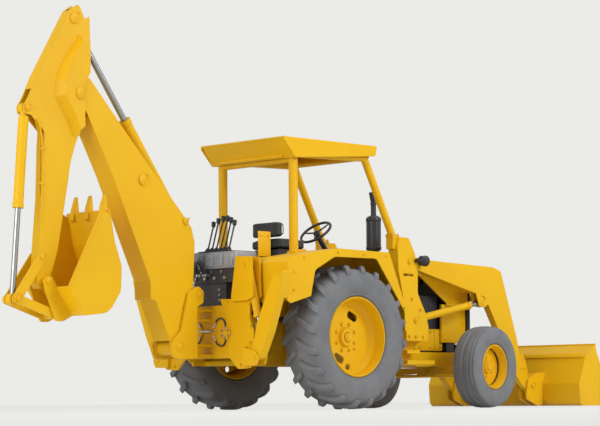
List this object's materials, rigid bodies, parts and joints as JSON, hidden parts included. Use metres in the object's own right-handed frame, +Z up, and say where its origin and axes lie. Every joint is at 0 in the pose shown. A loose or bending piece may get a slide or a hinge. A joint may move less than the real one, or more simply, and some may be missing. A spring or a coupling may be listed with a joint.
{
  "type": "backhoe loader",
  "caption": "Backhoe loader with a wide front bucket, an open roofed operator's station, and a folded digging arm with stabilizers at the rear.",
  "frame": {"origin": "on the floor, at the centre of the whole machine's bounding box", "axes": "+X forward to the loader bucket, +Y to the machine's left, +Z up"},
  "size_m": [7.6144, 2.16, 3.7172],
  "materials": {
    "yellow_paint": "gloss",
    "dark_paint": "satin",
    "black_paint": "satin",
    "tyre": "matte",
    "chrome_rod": "polished",
    "engine_iron": "matte",
    "seat_vinyl": "matte",
    "black_plastic": "matte"
  },
  "bodies": {
    "chassis": {"backhoe_frame": "yellow_paint", "engine_block": "engine_iron", "exhaust": "black_paint", "fenders": "yellow_paint", "front_axle": "yellow_paint", "grille": "black_paint", "hood": "yellow_paint", "hydraulic_cover": "dark_paint", "lever_console": "black_paint", "loader_towers": "yellow_paint", "main_frame": "yellow_paint", "platform": "dark_paint", "radiator": "black_paint", "rear_axle": "yellow_paint", "roof": "yellow_paint", "rops_frame": "yellow_paint", "seat_back": "seat_vinyl", "seat_base": "black_paint", "seat_cushion": "seat_vinyl", "steering_console": "black_paint", "swing_barrels": "dark_paint", "work_lamps": "black_plastic"},
    "rear_wheel_left": {"rear_tyre_left": "tyre", "rear_rim_left": "yellow_paint"},
    "front_wheel_left": {"front_tyre_left": "tyre", "front_rim_left": "yellow_paint"},
    "rear_wheel_right": {"rear_tyre_right": "tyre", "rear_rim_right": "yellow_paint"},
    "front_wheel_right": {"front_tyre_right": "tyre", "front_rim_right": "yellow_paint"},
    "boom": {"boom": "yellow_paint"},
    "boom_barrel": {"boom_barrel": "yellow_paint"},
    "boom_rod": {"boom_rod": "chrome_rod"},
    "bucket_barrel": {"bucket_barrel": "yellow_paint"},
    "bucket_guide": {"bucket_guide": "yellow_paint"},
    "bucket_link": {"bucket_link": "yellow_paint"},
    "bucket_rod": {"bucket_rod": "chrome_rod"},
    "crowd_barrel": {"crowd_barrel": "yellow_paint"},
    "crowd_rod": {"crowd_rod": "chrome_rod"},
    "dipper": {"dipper": "yellow_paint"},
    "hoe_bucket": {"hoe_bucket": "yellow_paint"},
    "knuckle_left": {"knuckle_left": "yellow_paint"},
    "knuckle_right": {"knuckle_right": "yellow_paint"},
    "lift_barrels": {"lift_barrels": "yellow_paint"},
    "lift_rods": {"lift_rods": "chrome_rod"},
    "loader_arms": {"loader_arms": "yellow_paint"},
    "loader_bucket": {"loader_bucket": "yellow_paint"},
    "stabilizer_barrel_left": {"stabilizer_barrel_left": "yellow_paint"},
    "stabilizer_barrel_right": {"stabilizer_barrel_right": "yellow_paint"},
    "stabilizer_left": {"stabilizer_left": "yellow_paint"},
    "stabilizer_right": {"stabilizer_right": "yellow_paint"},
    "stabilizer_rod_left": {"stabilizer_rod_left": "chrome_rod"},
    "stabilizer_rod_right": {"stabilizer_rod_right": "chrome_rod"},
    "steering_wheel": {"steering_wheel": "black_plastic"},
    "swing_mast": {"swing_mast": "yellow_paint"},
    "tie_rod": {"tie_rod": "yellow_paint"},
    "tilt_barrels": {"tilt_barrels": "yellow_paint"},
    "tilt_rods": {"tilt_rods": "chrome_rod"}
  },
  "joints": [
    {"name": "rear_wheel_left_spin", "type": "hinge", "parent": "chassis", "child": "rear_wheel_left", "pos_m": [-0.3728, 0.855, 0.7], "axis": [0, 1, 0], "continuous": true},
    {"name": "rear_wheel_right_spin", "type": "hinge", "parent": "chassis", "child": "rear_wheel_right", "pos_m": [-0.3728, -0.855, 0.7], "axis": [0, 1, 0], "continuous": true},
    {"name": "front_wheel_left_steer", "type": "hinge", "parent": "chassis", "child": "knuckle_left", "pos_m": [1.7672, 0.57, 0.425], "axis": [0, 0, 1], "range_deg": [-37, 23]},
    {"name": "front_wheel_left_spin", "type": "hinge", "parent": "knuckle_left", "child": "front_wheel_left", "pos_m": [1.73948, 0.7958, 0.425], "axis": [-0.1219, 0.9925, 0], "continuous": true},
    {"name": "front_wheel_right_steer", "type": "hinge", "parent": "chassis", "child": "knuckle_right", "pos_m": [1.7672, -0.57, 0.425], "axis": [0, 0, 1], "range_deg": [-37, 23]},
    {"name": "front_wheel_right_spin", "type": "hinge", "parent": "knuckle_right", "child": "front_wheel_right", "pos_m": [1.79493, -0.7958, 0.425], "axis": [-0.1219, 0.9925, 0], "continuous": true},
    {"name": "tie_rod_turn", "type": "hinge", "parent": "knuckle_right", "child": "tie_rod", "pos_m": [1.59977, -0.56033, 0.338], "axis": [0, 0, 1], "range_deg": [-24, 38]},
    {"name": "steering_wheel_turn", "type": "hinge", "parent": "chassis", "child": "steering_wheel", "pos_m": [0.1022, 0, 1.795], "axis": [-0.6293, 0, 0.7771], "range_deg": [-668, 416]},
    {"name": "loader_arms_lift", "type": "hinge", "parent": "chassis", "child": "loader_arms", "pos_m": [0.8702, 0, 1.5], "axis": [0, -1, 0], "range_deg": [0, 82]},
    {"name": "lift_barrel_turn", "type": "hinge", "parent": "chassis", "child": "lift_barrels", "pos_m": [0.9552, 0, 0.9], "axis": [0, 1, 0], "range_deg": [-64.78, 1]},
    {"name": "lift_rod_slide", "type": "slide", "parent": "lift_barrels", "child": "lift_rods", "axis": [0.9814, 0, 0.1918], "range_m": [-0.004, 0.66461]},
    {"name": "loader_bucket_tilt", "type": "hinge", "parent": "loader_arms", "child": "loader_bucket", "pos_m": [2.8552, 0, 0.228], "axis": [0, 1, 0], "range_deg": [-30, 70]},
    {"name": "tilt_barrel_turn", "type": "hinge", "parent": "loader_arms", "child": "tilt_barrels", "pos_m": [2.2322, 0, 1.185], "axis": [0, 1, 0], "range_deg": [-6.6, 3.4]},
    {"name": "tilt_rod_slide", "type": "slide", "parent": "tilt_barrels", "child": "tilt_rods", "axis": [0.6654, 0, -0.7465], "range_m": [-0.118, 0.27]},
    {"name": "stabilizer_left_lower", "type": "hinge", "parent": "chassis", "child": "stabilizer_left", "pos_m": [-1.3828, 0.69, 0.5], "axis": [-1, 0, 0], "range_deg": [0, 93]},
    {"name": "stabilizer_left_barrel_turn", "type": "hinge", "parent": "chassis", "child": "stabilizer_barrel_left", "pos_m": [-1.3828, 0.56, 1.38], "axis": [-1, 0, 0], "range_deg": [-11.34, 1]},
    {"name": "stabilizer_left_rod_slide", "type": "slide", "parent": "stabilizer_barrel_left", "child": "stabilizer_rod_left", "axis": [0, 0.2535, -0.9673], "range_m": [-0.004, 0.41717]},
    {"name": "stabilizer_right_lower", "type": "hinge", "parent": "chassis", "child": "stabilizer_right", "pos_m": [-1.3828, -0.69, 0.5], "axis": [1, 0, 0], "range_deg": [0, 93]},
    {"name": "stabilizer_right_barrel_turn", "type": "hinge", "parent": "chassis", "child": "stabilizer_barrel_right", "pos_m": [-1.3828, -0.56, 1.38], "axis": [1, 0, 0], "range_deg": [-11.34, 1]},
    {"name": "stabilizer_right_rod_slide", "type": "slide", "parent": "stabilizer_barrel_right", "child": "stabilizer_rod_right", "axis": [0, -0.2535, -0.9673], "range_m": [-0.004, 0.41717]},
    {"name": "swing", "type": "hinge", "parent": "chassis", "child": "swing_mast", "pos_m": [-1.5728, 0, 0.575], "axis": [0, 0, 1], "range_deg": [-90, 90]},
    {"name": "boom_lower", "type": "hinge", "parent": "swing_mast", "child": "boom", "pos_m": [-1.8928, 0, 0.6], "axis": [0, -1, 0], "range_deg": [0, 90]},
    {"name": "boom_barrel_turn", "type": "hinge", "parent": "swing_mast", "child": "boom_barrel", "pos_m": [-1.6408, 0, 1.105], "axis": [0, 1, 0], "range_deg": [-88.48, 1]},
    {"name": "boom_rod_slide", "type": "slide", "parent": "boom_barrel", "child": "boom_rod", "axis": [-0.5344, 0, 0.8452], "range_m": [-0.004, 0.82235]},
    {"name": "dipper_out", "type": "hinge", "parent": "boom", "child": "dipper", "pos_m": [-3.0628, 0, 2.9], "axis": [0, 1, 0], "range_deg": [0, 90]},
    {"name": "crowd_barrel_turn", "type": "hinge", "parent": "boom", "child": "crowd_barrel", "pos_m": [-1.7778, 0, 1.8], "axis": [0, 1, 0], "range_deg": [-1, 8.26]},
    {"name": "crowd_rod_slide", "type": "slide", "parent": "crowd_barrel", "child": "crowd_rod", "axis": [-0.5832, 0, 0.8124], "range_m": [-0.95687, 0.004]},
    {"name": "hoe_bucket_curl", "type": "hinge", "parent": "dipper", "child": "hoe_bucket", "pos_m": [-3.4378, 0, 1.18], "axis": [0, 1, 0], "range_deg": [0, 135]},
    {"name": "bucket_guide_turn", "type": "hinge", "parent": "dipper", "child": "bucket_guide", "pos_m": [-3.4678, 0, 1.395], "axis": [0, 1, 0], "range_deg": [-1, 105.72]},
    {"name": "bucket_link_turn", "type": "hinge", "parent": "bucket_guide", "child": "bucket_link", "pos_m": [-3.7578, 0, 1.01], "axis": [0, 1, 0], "range_deg": [-36.37, 1]},
    {"name": "bucket_barrel_turn", "type": "hinge", "parent": "dipper", "child": "bucket_barrel", "pos_m": [-3.6078, 0, 2.725], "axis": [0, 1, 0], "range_deg": [-1, 5.47]},
    {"name": "bucket_rod_slide", "type": "slide", "parent": "bucket_barrel", "child": "bucket_rod", "axis": [-0.0871, 0, -0.9962], "range_m": [-0.76075, 0.004]}
  ],
  "couplings": [
    {"joint": "front_wheel_left_steer", "follows": "front_wheel_right_steer", "ratio": 1},
    {"joint": "tie_rod_turn", "follows": "front_wheel_right_steer", "ratio": -1},
    {"joint": "steering_wheel_turn", "follows": "front_wheel_right_steer", "ratio": 18},
    {"joint": "lift_barrel_turn", "follows": "loader_arms_lift", "ratio": -0.77778},
    {"joint": "lift_rod_slide", "follows": "loader_arms_lift", "m_per_rad": 0.46159},
    {"joint": "tilt_barrel_turn", "follows": "loader_bucket_tilt", "ratio": -0.08},
    {"joint": "tilt_rod_slide", "follows": "loader_bucket_tilt", "m_per_rad": 0.21772},
    {"joint": "stabilizer_left_barrel_turn", "follows": "stabilizer_left_lower", "ratio": -0.1112},
    {"joint": "stabilizer_left_rod_slide", "follows": "stabilizer_left_lower", "m_per_rad": 0.25455},
    {"joint": "stabilizer_right_barrel_turn", "follows": "stabilizer_right_lower", "ratio": -0.1112},
    {"joint": "stabilizer_right_rod_slide", "follows": "stabilizer_right_lower", "m_per_rad": 0.25455},
    {"joint": "boom_barrel_turn", "follows": "boom_lower", "ratio": -0.97205},
    {"joint": "boom_rod_slide", "follows": "boom_lower", "m_per_rad": 0.52098},
    {"joint": "crowd_barrel_turn", "follows": "dipper_out", "ratio": 0.080715},
    {"joint": "crowd_rod_slide", "follows": "dipper_out", "m_per_rad": -0.60662},
    {"joint": "bucket_guide_turn", "follows": "hoe_bucket_curl", "ratio": 0.77574},
    {"joint": "bucket_link_turn", "follows": "hoe_bucket_curl", "ratio": -0.26201},
    {"joint": "bucket_barrel_turn", "follows": "hoe_bucket_curl", "ratio": 0.033078},
    {"joint": "bucket_rod_slide", "follows": "hoe_bucket_curl", "m_per_rad": -0.32117}
  ]
}
